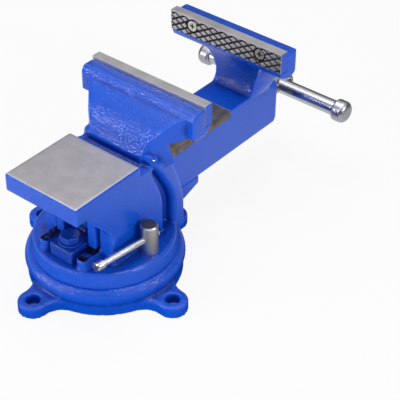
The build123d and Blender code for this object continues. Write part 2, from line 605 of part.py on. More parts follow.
def retainer_y():
    """Middle of the retaining collar behind the front wall and the spring."""
    return FRONT_WALL_REAR_Y + FACE_GAP + SPRING_L + FACE_GAP + RETAINER_T / 2


def make_thrust_washer():
    y0 = COUNTERBORE_FLOOR_Y - THRUST_WASHER_T
    washer = rod_y(COLLAR_R, y0, COUNTERBORE_FLOOR_Y)
    return washer - rod_y(JOURNAL_R + 2 * RUNNING_GAP, y0 - 1, COUNTERBORE_FLOOR_Y + 1)


def make_retaining_collar():
    y = retainer_y()
    collar = rod_y(RETAINER_R, y - RETAINER_T / 2, y + RETAINER_T / 2)
    collar -= rod_y(SPINDLE_R, y - RETAINER_T, y + RETAINER_T)
    return collar - rod_z(PIN_R, SPINDLE_Z - 20, SPINDLE_Z + 20, 0, y)


def make_retaining_pin():
    return rod_z(PIN_R, SPINDLE_Z - RETAINER_R, SPINDLE_Z + RETAINER_R, 0, retainer_y())


def make_return_spring():
    """Open coil between the front wall and the retaining collar."""
    coil_r = SPINDLE_R + SPRING_WIRE_R + 0.5
    run = SPRING_L - 2 * SPRING_WIRE_R
    start_y = FRONT_WALL_REAR_Y + FACE_GAP + SPRING_WIRE_R
    path = Helix(run / SPRING_TURNS, run, coil_r)
    section = Plane(origin=path @ 0, z_dir=path % 0) * Circle(SPRING_WIRE_R)
    coil = sweep(section, path, is_frenet=True)
    return Pos(0, start_y, SPINDLE_Z) * Rot(-90, 0, 0) * coil


# ---- handle ----------------------------------------------------------------
def bar_mid_x():
    return BAR_SHIFT


def make_handle_bar():
    length = 2 * BAR_HALF_L
    bar = Pos(bar_mid_x(), BAR_Y, SPINDLE_Z) * Rot(0, 90, 0) * Cylinder(BAR_R, length)
    return bar


def make_handle_cap(side):
    """Rounded steel cap with a blind bore that the bar end is pressed into."""
    cap = Cylinder(CAP_R, CAP_L)
    cap = fillet(cap.edges().group_by(Axis.Z)[-1], CAP_ROUND)
    cap = fillet(cap.edges().group_by(Axis.Z)[0], CAP_HEEL_R)
    cap -= Pos(0, 0, -CAP_L / 2) * Cylinder(BAR_R, CAP_L)
    return Pos(bar_mid_x() + side * BAR_HALF_L, BAR_Y, SPINDLE_Z) * Rot(0, 90 * side, 0) * cap


# ---- main nut --------------------------------------------------------------
def make_main_nut():
    """Bolted foot with the threaded barrel standing inside the slide."""
    foot = block(-NUT_FOOT_HALF_W, NUT_FOOT_HALF_W, NUT_BARREL_FRONT_Y + NUT_BARREL_L - 6,
                 NUT_FOOT_REAR_Y, DISC_TOP_Z, DISC_TOP_Z + NUT_FOOT_H)
    foot = fillet(foot.edges().filter_by(Axis.Z).group_by(Axis.Y)[-1], 1.2)
    post = block(-NUT_FOOT_HALF_W, NUT_FOOT_HALF_W, NUT_BARREL_FRONT_Y, NUT_BARREL_FRONT_Y + NUT_BARREL_L,
                 DISC_TOP_Z, SPINDLE_Z)
    barrel = rod_y(NUT_BARREL_R, NUT_BARREL_FRONT_Y, NUT_BARREL_FRONT_Y + NUT_BARREL_L)
    nut = foot + post + barrel
    nut -= rod_y(SPINDLE_R + RUNNING_GAP, NUT_BARREL_FRONT_Y - 1, NUT_BARREL_FRONT_Y + NUT_BARREL_L + 1)
    return nut - rod_z(NUT_BOLT_R + HOLE_GAP, DISC_TOP_Z - 1, DISC_TOP_Z + NUT_FOOT_H + 1, 0, NUT_BOLT_Y)


def make_nut_washer():
    z0 = DISC_TOP_Z + NUT_FOOT_H
    washer = rod_z(NUT_WASHER_R, z0, z0 + NUT_WASHER_T, 0, NUT_BOLT_Y)
    return washer - rod_z(NUT_BOLT_R + HOLE_GAP, z0 - 1, z0 + NUT_WASHER_T + 1, 0, NUT_BOLT_Y)


def make_nut_bolt():
    z0 = DISC_TOP_Z + NUT_FOOT_H + NUT_WASHER_T
    head = extrude(Pos(0, NUT_BOLT_Y, z0) * RegularPolygon(HEX_AF / 2, 6, major_radius=False), HEX_H)
    return head + rod_z(NUT_BOLT_R, DISC_BOTTOM_Z + 1, z0 + 1, 0, NUT_BOLT_Y)


# ---- swivel locks ----------------------------------------------------------
def lock_bar_angle(side):
    """Direction of a lock bar about Z: back on the left, forward on the right."""
    return -side * (90.0 - LOCK_BAR_TURN)


def make_t_bolt(side):
    head = block(-T_HEAD_W / 2, T_HEAD_W / 2, -T_HEAD_W / 2, T_HEAD_W / 2, T_HEAD_Z, T_HEAD_Z + T_HEAD_H)
    bolt = head + rod_z(LOCK_BOLT_R, T_HEAD_Z + 1, LOCK_BAR_AXIS_Z - LOCK_BAR_R - 1.5)
    return Pos(side * LOCK_X, LOCK_Y, 0) * Rot(0, 0, math.degrees(math.atan2(LOCK_Y, LOCK_X * side))) * bolt


def make_lock_nut(side):
    z0 = DISC_TOP_Z + FACE_GAP
    nut = rod_z(LOCK_NUT_R, z0, z0 + LOCK_NUT_H)
    nut = chamfer(nut.edges().group_by(Axis.Z)[-1], 1.2)
    nut -= rod_z(LOCK_BOLT_R + RUNNING_GAP, z0 - 1, LOCK_BAR_AXIS_Z - LOCK_BAR_R - 1.0)
    hole = Rot(0, 90, 0) * Cylinder(LOCK_BAR_R + RUNNING_GAP, 4 * LOCK_NUT_R)
    nut -= Pos(0, 0, LOCK_BAR_AXIS_Z) * hole
    return Pos(side * LOCK_X, LOCK_Y, 0) * Rot(0, 0, lock_bar_angle(side)) * nut


def lock_bar_place(side):
    """Frame of a lock bar: +x runs from the axis of its nut to its far end."""
    return Pos(side * LOCK_X, LOCK_Y, LOCK_BAR_AXIS_Z) * Rot(0, 0, lock_bar_angle(side))


def lock_bar_ends():
    """Where the bar ends in its far cap and in its near head, along +x of its frame."""
    return LOCK_BAR_REACH - LOCK_CAP_L / 2, -LOCK_NUT_R - 0.2 - LOCK_STUB_L / 2


def make_lock_bar(side):
    far, near = lock_bar_ends()
    return lock_bar_place(side) * Pos((far + near) / 2, 0, 0) * Rot(0, 90, 0) * Cylinder(LOCK_BAR_R, far - near)


def make_lock_caps(side):
    """Cap pressed on the far end of the bar, and the small head at its near end."""
    far, near = lock_bar_ends()
    cap = chamfer(Cylinder(LOCK_CAP_R, LOCK_CAP_L).edges().group_by(Axis.Z)[-1], 0.8)
    cap -= Pos(0, 0, -LOCK_CAP_L / 2) * Cylinder(LOCK_BAR_R, LOCK_CAP_L)
    stub = chamfer(Cylinder(LOCK_STUB_R, LOCK_STUB_L).edges().group_by(Axis.Z)[-1], 0.4)
    stub -= Pos(0, 0, -LOCK_STUB_L / 2) * Cylinder(LOCK_BAR_R, LOCK_STUB_L)
    place = lock_bar_place(side)
    return Compound([place * Pos(far, 0, 0) * Rot(0, 90, 0) * cap, place * Pos(near, 0, 0) * Rot(0, -90, 0) * stub])


# ---- export ----------------------------------------------------------------
def all_parts():
    parts = {
        "swivel_base": make_swivel_base(),
        "vise_body": make_vise_body(),
        "movable_jaw": make_movable_jaw(),
        "fixed_jaw_plate": make_plate(FIXED_FACE_Y, 1),
        "movable_jaw_plate": make_plate(GRIP_Y, -1),
        "fixed_plate_screws": make_plate_screws(FIXED_FACE_Y, 1),
        "movable_plate_screws": make_plate_screws(GRIP_Y, -1),
        "spindle": make_spindle(),
        "thrust_washer": make_thrust_washer(),
        "return_spring": make_return_spring(),
        "retaining_collar": make_retaining_collar(),
        "retaining_pin": make_retaining_pin(),
        "handle_bar": make_handle_bar(),
        "handle_cap_left": make_handle_cap(-1),
        "handle_cap_right": make_handle_cap(1),
        "main_nut": make_main_nut(),
        "nut_washer": make_nut_washer(),
        "nut_bolt": make_nut_bolt(),
    }
    for name, side in (("left", -1), ("right", 1)):
        parts[name + "_t_bolt"] = make_t_bolt(side)
        parts[name + "_lock_nut"] = make_lock_nut(side)
        parts[name + "_lock_bar"] = make_lock_bar(side)
        parts[name + "_lock_bar_caps"] = make_lock_caps(side)
    return parts


os.makedirs("parts", exist_ok=True)
for node_name, shape in all_parts().items():
    export_step(shape, f"parts/{node_name}.step")
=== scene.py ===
"""Finishes and fine shapes of a bench vise with an anvil and a swivel base.

All lengths are metres in the frame of the solid model: X runs along the jaws,
-Y points to the tommy bar, +Y to the anvil's tail and Z up. Each sub-assembly is
a class with its sizes as fields; each finish is a frozen dataclass that builds
one material from shared node groups.
"""

from __future__ import annotations

import json
import logging
import math
from dataclasses import dataclass, field
from enum import Enum
from typing import Any

import bmesh
import bpy
import numpy as np
from mathutils import Matrix, Vector

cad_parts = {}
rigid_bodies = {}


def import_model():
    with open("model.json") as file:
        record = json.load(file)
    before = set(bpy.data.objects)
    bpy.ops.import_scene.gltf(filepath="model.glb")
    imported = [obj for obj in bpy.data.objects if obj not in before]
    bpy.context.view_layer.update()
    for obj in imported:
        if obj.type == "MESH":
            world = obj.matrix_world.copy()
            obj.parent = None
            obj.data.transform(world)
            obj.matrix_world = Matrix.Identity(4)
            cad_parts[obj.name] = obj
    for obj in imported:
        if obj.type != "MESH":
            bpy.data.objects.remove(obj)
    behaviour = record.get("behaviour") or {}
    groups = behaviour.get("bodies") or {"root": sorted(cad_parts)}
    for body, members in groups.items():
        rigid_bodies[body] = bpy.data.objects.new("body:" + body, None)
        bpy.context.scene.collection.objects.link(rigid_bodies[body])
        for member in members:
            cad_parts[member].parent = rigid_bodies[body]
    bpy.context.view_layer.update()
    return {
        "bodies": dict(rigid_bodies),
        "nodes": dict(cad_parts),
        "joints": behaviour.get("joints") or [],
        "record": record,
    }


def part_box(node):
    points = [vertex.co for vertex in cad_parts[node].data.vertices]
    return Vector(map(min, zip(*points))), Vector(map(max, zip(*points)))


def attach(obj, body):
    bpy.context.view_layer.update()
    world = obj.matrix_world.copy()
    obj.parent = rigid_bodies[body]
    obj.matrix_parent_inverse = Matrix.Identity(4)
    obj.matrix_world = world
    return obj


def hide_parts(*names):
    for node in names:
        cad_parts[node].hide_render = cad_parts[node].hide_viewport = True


LOG = logging.getLogger("bench_vise")
MM = 0.001
SAME_POINT = 1e-6  # points closer than this are merged
EMPTY_EDGE = 1e-7  # edges shorter than this are dissolved
ZEROS = (0.0, 0.0, 0.0)
ONES = (1.0, 1.0, 1.0)
WHITE = ONES
Rgb = tuple[float, float, float]
Point = tuple[float, float, float]
Socket = bpy.types.NodeSocket


class Body(Enum):
    """Rigid bodies that carry rebuilt pieces, by their names in the solid model."""

    BASE = "base"
    TURNTABLE = "turntable"
    JAW = "jaw"


# ---- surfaces ----------------------------------
def grid_quads(rows: int, cols: int, wrap_cols: bool) -> np.ndarray:
    """Number the corners of the quads of a grid of points.

    Points are numbered row by row, and quad (i, j) joins rows i and i + 1.

    Args:
        rows: Rows of points.
        cols: Points in a row.
        wrap_cols: Whether the last point of a row joins the first.

    Returns:
        One row of four corner numbers for each quad.
    """
    span = cols if wrap_cols else cols - 1
    row, col = np.meshgrid(np.arange(rows - 1), np.arange(span), indexing="ij")
    after = (col + 1) % cols
    here, below = row * cols, (row + 1) * cols
    corners = [here + col, here + after, below + after, below + col]
    return np.stack(corners, axis=-1).reshape(-1, 4)


def rim(grid: np.ndarray) -> np.ndarray:
    """Walk once round the outer values of a grid, starting at its first corner."""
    right, last, left = grid[:, -1], grid[-1][::-1], grid[:, 0][::-1]
    return np.concatenate([grid[0], right[1:], last[1:], left[1:-1]])


@dataclass
class Surface:
    """Patches of points and quads that become one mesh.

    Attributes:
        patches: Pairs of points and of quads that number those points.
    """

    patches: list[tuple[np.ndarray, np.ndarray]] = field(default_factory=list)

    def grid(self, x: np.ndarray, y: Any, z: np.ndarray, wrap_cols: bool = False) -> None:
        """Add a grid of points.

        Args:
            x: Rows by columns of X values.
            y: Y values of the same shape, or one for all points.
            z: Z values of the same shape as x.
            wrap_cols: Whether each row closes on itself.
        """
        points = np.stack([x, np.broadcast_to(y, x.shape), z], axis=-1)
        self.patches.append((points.reshape(-1, 3), grid_quads(*x.shape, wrap_cols)))

    def build(self, name: str, sharp_deg: float) -> bpy.types.Object:
        """Join the patches, close their seams and turn the faces outwards.

        Args:
            name: Name of the object.
            sharp_deg: Edges that turn more than this stay sharp.

        Returns:
            The new object, at the origin.
        """
        points = np.concatenate([p for p, _ in self.patches])
        starts = np.cumsum([0] + [len(p) for p, _ in self.patches[:-1]])
        quads = np.concatenate([q + start for (_, q), start in zip(self.patches, starts)])
        mesh = bpy.data.meshes.new(name)
        mesh.from_pydata(points.tolist(), [], quads.tolist())
        close_mesh(mesh)
        return mesh_object(name, mesh, sharp_deg)


def close_mesh(mesh: bpy.types.Mesh) -> None:
    """Merge doubled points, drop empty faces and recalculate the normals."""
    work = bmesh.new()
    work.from_mesh(mesh)
    bmesh.ops.remove_doubles(work, verts=work.verts, dist=SAME_POINT)
    bmesh.ops.dissolve_degenerate(work, edges=work.edges, dist=EMPTY_EDGE)
    bmesh.ops.recalc_face_normals(work, faces=work.faces)
    work.to_mesh(mesh)
    work.free()
    mesh.update()


def mesh_object(name: str, mesh: bpy.types.Mesh, sharp_deg: float) -> bpy.types.Object:
    """Put a mesh into the scene with smooth faces and sharp corners.

    Args:
        name: Name of the object.
        mesh: Finished mesh.
        sharp_deg: Edges that turn more than this stay sharp.

    Returns:
        The new object, at the origin.
    """
    mesh.shade_smooth()
    mesh.set_sharp_from_angle(angle=math.radians(sharp_deg))
    piece = bpy.data.objects.new(name, mesh)
    bpy.context.scene.collection.objects.link(piece)
    return piece


def dress(piece: bpy.types.Object, material: bpy.types.Material) -> None:
    """Give every face of a piece one material."""
    piece.data.materials.clear()
    piece.data.materials.append(material)
    faces = piece.data.polygons
    faces.foreach_set("material_index", np.zeros(len(faces), np.int32))


# ---- values on a mesh's points -----------------
def read_rows(items: Any, key: str, width: int, kind: type = np.float32) -> np.ndarray:
    """Read a property of each item of a mesh into the rows of an array.

    Args:
        items: Points, edges or normals of a mesh.
        key: Property to read.
        width: Numbers that each item has.
        kind: Type of the numbers.

    Returns:
        One row for each item.
    """
    values = np.empty(len(items) * width, kind)
    items.foreach_get(key, values)
    return values.reshape(-1, width)


def store(mesh: bpy.types.Mesh, name: str, values: np.ndarray) -> None:
    """Store one number for each point of a mesh, as an attribute."""
    layer = mesh.attributes.new(name, "FLOAT", "POINT")
    layer.data.foreach_set("value", np.ascontiguousarray(values, np.float32))


def mark_edges(mesh: bpy.types.Mesh, layers: dict[str, tuple[int, float]]) -> None:
    """Store how convex the surface is at each point, from -1 in a hollow to 1 on an edge.

    For an edge from p to q the bend at p is -(normal . (q - p)) / |q - p|. The mean over
    a point's edges is spread over its neighbours a number of times and divided by the
    mean bend that counts as a full edge.

    Args:
        mesh: Mesh that gets the attributes.
        layers: For each attribute, how often the bend is spread and its full bend.
    """
    places = read_rows(mesh.vertices, "co", 3)
    normals = read_rows(mesh.vertex_normals, "vector", 3)
    ends = read_rows(mesh.edges, "vertices", 2, np.int32)
    shortest = 1e-9
    first, second = np.concatenate([ends, ends[:, ::-1]]).T
    count = len(places)
    degree = np.maximum(np.bincount(first, minlength=count), 1)

    def mean_at_start(values: np.ndarray) -> np.ndarray:
        """Mean of the edges' values at the point where they start."""
        return np.bincount(first, weights=values, minlength=count) / degree

    run = places[second] - places[first]
    length = np.maximum(np.linalg.norm(run, axis=1), shortest)
    bent = mean_at_start(-np.einsum("ij,ij->i", normals[first], run) / length)
    for name, (spreads, full) in layers.items():
        value = bent
        for _ in range(spreads):
            value = 0.5 * value + 0.5 * mean_at_start(value[second])
        store(mesh, name, np.clip(value / full, -1.0, 1.0))


def mark_facing(mesh: bpy.types.Mesh) -> None:
    """Store how far each point's normal looks up, as level, and along X, as side."""
    normals = read_rows(mesh.vertex_normals, "vector", 3)
    store(mesh, "level", normals[:, 2])
    store(mesh, "side", np.abs(normals[:, 0]))


# ---- node trees --------------------------------
@dataclass
class Bench:
    """Short hand for filling a node tree.

    Attributes:
        tree: Tree that gets the nodes.
    """

    tree: bpy.types.NodeTree

    def feed(self, node: bpy.types.Node, inputs: dict[str | int, Any]) -> bpy.types.Node:
        """Set or link the inputs of a node.

        Args:
            node: Node to feed.
            inputs: For each input's name or number, a value or another node's output.

        Returns:
            The same node.
        """
        for key, value in inputs.items():
            socket = node.inputs[key]
            if isinstance(value, Socket):
                self.tree.links.new(value, socket)
            else:
                socket.default_value = (*value, 1.0) if socket.type == "RGBA" else value
        return node

    def add(self, kind: str, inputs: dict[str | int, Any] | None = None,
            **settings: Any) -> bpy.types.Node:
        """Add a node, set it and feed it.

        Args:
            kind: Node type, such as ShaderNodeMath.
            inputs: What its inputs get, as in feed.
            **settings: Attributes of the node.

        Returns:
            The new node.
        """
        node = self.tree.nodes.new(kind)
        for key, value in settings.items():
            setattr(node, key, value)
        return self.feed(node, inputs or {})

    def group(self, tree: bpy.types.NodeTree, **inputs: Any) -> Any:
        """Place a node group, feed its named inputs and return its outputs."""
        return self.add("ShaderNodeGroup", inputs, node_tree=tree).outputs

    def calc(self, operation: str, *values: Any, clamp: bool = False) -> Socket:
        """Add a Math node and return its value."""
        inputs = dict(enumerate(values))
        return self.add("ShaderNodeMath", inputs, operation=operation, use_clamp=clamp).outputs[0]

    def times(self, first: Any, second: Any) -> Socket:
        """Multiply two values."""
        return self.calc("MULTIPLY", first, second)

    def ramp(self, value: Any, start: float, gain: float) -> Socket:
        """Return (value - start) * gain, kept between 0 and 1."""
        return self.calc("MULTIPLY", self.calc("SUBTRACT", value, start), gain, clamp=True)

    def vector(self, operation: str, *values: Any) -> Socket:
        """Add a Vector Math node and return its vector."""
        inputs = dict(enumerate(values))
        return self.add("ShaderNodeVectorMath", inputs, operation=operation).outputs[0]

    def split(self, vector: Any) -> Any:
        """Return the three parts of a vector."""
        return self.add("ShaderNodeSeparateXYZ", {0: vector}).outputs

    def blend(self, factor: Any, first: Any, second: Any, mode: str = "MIX") -> Socket:
        """Mix two colours."""
        inputs = {0: factor, 6: first, 7: second}
        return self.add("ShaderNodeMix", inputs, data_type="RGBA", blend_type=mode).outputs[2]

    def shade(self, paint: Any, value: Any) -> Socket:
        """Multiply a colour by a value."""
        grey = self.add("ShaderNodeCombineColor", {0: value, 1: value, 2: value}).outputs[0]
        return self.blend(1.0, paint, grey, "MULTIPLY")

    def lerp(self, factor: Any, first: Any, second: Any) -> Socket:
        """Mix two values."""
        inputs = {0: factor, 2: first, 3: second}
        return self.add("ShaderNodeMix", inputs, data_type="FLOAT").outputs[0]

    def noise(self, place: Any, scale: Any, detail: float, rough: float = 0.5) -> Any:
        """Add a noise texture and return its outputs."""
        inputs = {"Vector": place, "Scale": scale, "Detail": detail, "Roughness": rough}
        return self.add("ShaderNodeTexNoise", inputs).outputs

    def attribute(self, name: str) -> Socket:
        """Read a number that is stored on the mesh's points."""
        return self.add("ShaderNodeAttribute", attribute_name=name).outputs["Fac"]

    def bump(self, height: Any) -> Socket:
        """Turn a height in metres into a normal."""
        inputs = {"Height": height, "Distance": 1.0, "Strength": 1.0}
        return self.add("ShaderNodeBump", inputs).outputs[0]


def group_bench(name: str, inputs: dict[str, Any],
                *outputs: str) -> tuple[Bench, Any, bpy.types.Node]:
    """Start a shader node group with named sockets.

    Args:
        name: Name of the group.
        inputs: Default of each input; three numbers make a vector, one makes a value.
        *outputs: Names of the outputs, which are all values.

    Returns:
        The bench of the group, the outputs of its input node, and its output node.
    """
    tree = bpy.data.node_groups.new(name, "ShaderNodeTree")
    for key, default in inputs.items():
        kind = "NodeSocketVector" if isinstance(default, tuple) else "NodeSocketFloat"
        socket = tree.interface.new_socket(name=key, in_out="INPUT", socket_type=kind)
        socket.default_value = default
    for key in outputs:
        tree.interface.new_socket(name=key, in_out="OUTPUT", socket_type="NodeSocketFloat")
    bench = Bench(tree)
    return bench, bench.add("NodeGroupInput").outputs, bench.add("NodeGroupOutput")


def cast_grain_group() -> bpy.types.NodeTree:
    """Build the pebbled skin of sand-cast iron under thick enamel.

    Height is rounded cells at a warped place mixed with a coarser noise; Mottle is slow
    noise.

    Returns:
        The node group.
    """
    warp_reach, coarse_scale, coarse_share = 0.0006, 0.45, 0.22
    bench, source, sink = group_bench(
        "cast_grain", {"Vector": ZEROS, "Scale": 500.0}, "Height", "Mottle")
    place, scale = source["Vector"], source["Scale"]
    warp = bench.noise(place, scale, 2.0)["Color"]
    shifted = bench.vector("MULTIPLY_ADD", warp, (warp_reach,) * 3, place)
    cells = {"Vector": shifted, "Scale": scale, "Smoothness": 0.55}
    pebble = bench.add("ShaderNodeTexVoronoi", cells, feature="SMOOTH_F1").outputs["Distance"]
    coarse = bench.noise(place, bench.times(scale, coarse_scale), 3.0)[0]
    height = bench.lerp(coarse_share, bench.calc("SUBTRACT", 1.0, pebble), coarse)
    bench.feed(sink, {"Height": height, "Mottle": bench.noise(place, 28.0, 3.0, 0.6)[0]})
    return bench.tree


def zone_mask_group() -> bpy.types.NodeTree:
    """Build a mask that is 1 inside a box and falls to 0 over a soft margin.

    Along each axis the mask is clamp((v - low) / soft) * clamp((high - v) / soft),
    and the three are multiplied.

    Returns:
        The node group.
    """
    bench, source, sink = group_bench(
        "zone_mask", {"Vector": ZEROS, "Low": ZEROS, "High": ZEROS, "Soft": 0.0003}, "Mask")
    place, gain = source["Vector"], bench.calc("DIVIDE", 1.0, source["Soft"])
    sides = []
    for upper, lower in ((place, source["Low"]), (source["High"], place)):
        run = bench.add("ShaderNodeVectorMath", {
            0: bench.vector("SUBTRACT", upper, lower), "Scale": gain}, operation="SCALE")
        topped = bench.vector("MINIMUM", run.outputs[0], ONES)
        sides.append(bench.vector("MAXIMUM", topped, ZEROS))
    parts = bench.split(bench.vector("MULTIPLY", *sides))
    mask = bench.calc("MULTIPLY", bench.times(parts[0], parts[1]), parts[2], clamp=True)
    bench.feed(sink, {"Mask": mask})
    return bench.tree


def tool_marks_group() -> bpy.types.NodeTree:
    """Build the fine lines that a cutter or grinder leaves.

    The point is stretched by Stretch before two noises are read, so that the marks
    run along the axis with the smallest factor.

    Returns:
        The node group.
    """
    broad_scale, broad_share = 0.2, 0.35
    bench, source, sink = group_bench(
        "tool_marks", {"Vector": ZEROS, "Stretch": ONES, "Scale": 400.0}, "Height", "Tone")
    place = bench.vector("MULTIPLY", source["Vector"], source["Stretch"])
    fine = bench.noise(place, source["Scale"], 2.0)[0]
    broad = bench.noise(place, bench.times(source["Scale"], broad_scale), 4.0, 0.7)[0]
    bench.feed(sink, {"Height": bench.lerp(broad_share, fine, broad), "Tone": broad})
    return bench.tree


def smudge_group() -> bpy.types.NodeTree:
    """Build slow clouds of handling marks between two values.

    Returns:
        The node group.
    """
    bench, source, sink = group_bench(
        "smudge", {"Vector": ZEROS, "Scale": 60.0, "Low": 0.2, "High": 0.4}, "Value")
    cloud = bench.noise(source["Vector"], source["Scale"], 4.0, 0.65)[0]
    spread = bench.add("ShaderNodeMapRange", {
        "Value": cloud, "From Min": 0.32, "From Max": 0.68,
        "To Min": source["Low"], "To Max": source["High"]})
    bench.feed(sink, {"Value": spread.outputs[0]})
    return bench.tree


@dataclass
class Groups:
    """The node groups that the finishes share."""

    grain: bpy.types.NodeTree = field(default_factory=cast_grain_group)
    zone: bpy.types.NodeTree = field(default_factory=zone_mask_group)
    marks: bpy.types.NodeTree = field(default_factory=tool_marks_group)
    smudge: bpy.types.NodeTree = field(default_factory=smudge_group)


def start_material(name: str) -> tuple[bpy.types.Material, Bench, bpy.types.Node, Socket]:
    """Start a material with a Principled shader.

    Args:
        name: Name of the material.

    Returns:
        The material, its bench, the shader node and the Object coordinates.
    """
    material = bpy.data.materials.new(name)
    material.use_nodes = True
    bench = Bench(material.node_tree)
    shader = material.node_tree.nodes["Principled BSDF"]
    return material, bench, shader, bench.add("ShaderNodeTexCoord").outputs["Object"]


# ---- finishes ----------------------------------
BLUE: Rgb = (0.003, 0.084, 0.62)


def scaled(tone: Rgb, factor: float, lift: float = 0.0) -> Rgb:
    """Multiply a colour by a factor and add to it, up to white."""
    return tuple(min(1.0, factor * c + lift) for c in tone)


@dataclass(frozen=True)
class Zone:
    """A box on a painted casting where the metal is bare, dirt covers the paint, or shade is
    painted into the colour.

    Attributes:
        low: Lowest corner.
        high: Highest corner.
        tone: Colour there.
        stain: How much lighter and darker the clouds on it are, as a share of the tone.
        upward: Whether only faces that look up belong to it.
        soft: Width of the boundary.
        gaps: Share of the zone that keeps its paint, in patches.
    """

    low: Point
    high: Point
    tone: Rgb
    stain: float
    upward: bool = True
    soft: float = 0.4 * MM
    gaps: float = 0.0

    def mask(self, bench: Bench, groups: Groups, place: Socket) -> Socket:
        """Build the zone's mask from its box and the way the surface faces.

        Args:
            bench: Bench of the material.
            groups: Shared node groups.
            place: Object coordinates.

        Returns:
            The mask, 1 inside the zone.
        """
        patch_scale, patch_gain = 190.0, 5.0
        up_start, up_gain = 0.80, 12.0
        inside = bench.group(
            groups.zone, Vector=place, Low=self.low, High=self.high, Soft=self.soft)[0]
        if self.gaps:
            patch = bench.group(
                groups.smudge, Vector=place, Scale=patch_scale, Low=0.0, High=1.0)[0]
            inside = bench.times(inside, bench.ramp(patch, self.gaps, patch_gain))
        if not self.upward:
            return inside
        return bench.times(inside, bench.ramp(bench.attribute("level"), up_start, up_gain))


@dataclass(frozen=True)
class Enamel:
    """Thick glossy enamel over cast iron, with machined faces left bare.

    Attributes:
        name: Name of the material.
        tone: Paint colour.
        deep: Paint colour in hollows and at the roots of edges: pooled enamel and painted shade.
        grain: Pebbles per metre.
        depth: Depth of the pebbles.
        gloss: Lowest and highest roughness.
        calm: Share by which the pebbles are shallower on faces that look along X.
        zones: Bare, dirty and painted-shade zones.
        stretch: Direction of the cutter marks, as in tool_marks.
        mark_depth: Depth of the cutter marks.
    """

    name: str
    tone: Rgb = BLUE
    deep: Rgb = (0.001, 0.012, 0.21)
    grain: float = 880.0
    depth: float = 0.46 * MM
    gloss: tuple[float, float] = (0.11, 0.18)
    calm: float = 0.0
    zones: tuple[Zone, ...] = ()
    stretch: Point = (1.0, 0.06, 1.0)
    mark_depth: float = 0.04 * MM

    def material(self, groups: Groups) -> bpy.types.Material:
        """Build the material.

        Args:
            groups: Shared node groups.

        Returns:
            The finished material.
        """
        zone_rough, zone_metal = 0.44, 0.85
        material, bench, shader, place = start_material(self.name)
        grain = bench.group(groups.grain, Vector=place, Scale=self.grain)
        paint = self._paint(bench, grain["Mottle"])
        rough: Any = bench.group(
            groups.smudge, Vector=place, Scale=90.0, Low=self.gloss[0], High=self.gloss[1])[0]
        relief = bench.times(grain["Height"], self.depth)
        if self.calm:
            kept = bench.calc("MULTIPLY_ADD", bench.attribute("side"), -self.calm, 1.0)
            relief = bench.times(relief, kept)
        metal: Any = 0.0
        if self.zones:
            marks = bench.group(groups.marks, Vector=place, Stretch=self.stretch, Scale=900.0)
            paint, whole = self._lay_zones(bench, groups, place, marks["Tone"], paint)
            rough = bench.lerp(whole, rough, zone_rough)
            metal = bench.times(whole, zone_metal)
            relief = bench.lerp(whole, relief, bench.times(marks["Height"], self.mark_depth))
        bench.feed(shader, {
            "Base Color": paint, "Roughness": rough, "Metallic": metal,
            "Normal": bench.bump(relief), "Specular IOR Level": 0.5})
        return material

    def _paint(self, bench: Bench, mottle: Socket) -> Socket:
        """Build the paint: deeper in hollows as pooled enamel and painted shade, brighter on edges
        as a painted highlight, and softly mottled.
        """
        at_root, in_hollow, highlight_on_edge = 0.8, 0.55, 0.5
        brighter, paler, mottling, darkest = 1.4, 0.03, 0.3, 0.85
        edge, hollow = bench.attribute("edge"), bench.attribute("hollow")
        # Pooled enamel and painted shade: the paint deepens in hollows and at the roots of edges.
        pool_and_shade = bench.calc("MAXIMUM", bench.times(edge, -at_root), bench.times(hollow, in_hollow))
        pool_and_shade = bench.calc("MINIMUM", bench.calc("MAXIMUM", pool_and_shade, 0.0), 1.0)
        paint = bench.blend(pool_and_shade, self.tone, self.deep)
        # Painted highlight: the paint is lightened along convex edges.
        wear_and_highlight = bench.calc("MULTIPLY", edge, highlight_on_edge, clamp=True)
        paint = bench.blend(wear_and_highlight, paint, scaled(self.tone, brighter, paler))
        return bench.shade(paint, bench.calc("MULTIPLY_ADD", mottle, mottling, darkest))

    def _lay_zones(self, bench: Bench, groups: Groups, place: Socket, cut: Socket,
              paint: Socket) -> tuple[Socket, Any]:
        """Lay the zones over the paint, and return the colour and the mask of them all."""
        streaking, darkest = 0.20, 0.90
        cloud = bench.group(groups.smudge, Vector=place, Scale=110.0, Low=0.0, High=1.0)[0]
        streaks = bench.calc("MULTIPLY_ADD", cut, streaking, darkest)
        whole: Any = 0.0
        for zone in self.zones:
            mask = zone.mask(bench, groups, place)
            dark, light = (scaled(zone.tone, 1.0 + s * zone.stain) for s in (-1.0, 1.0))
            paint = bench.blend(mask, paint, bench.shade(bench.blend(cloud, dark, light), streaks))
            whole = bench.calc("MAXIMUM", whole, mask)
        return paint, whole


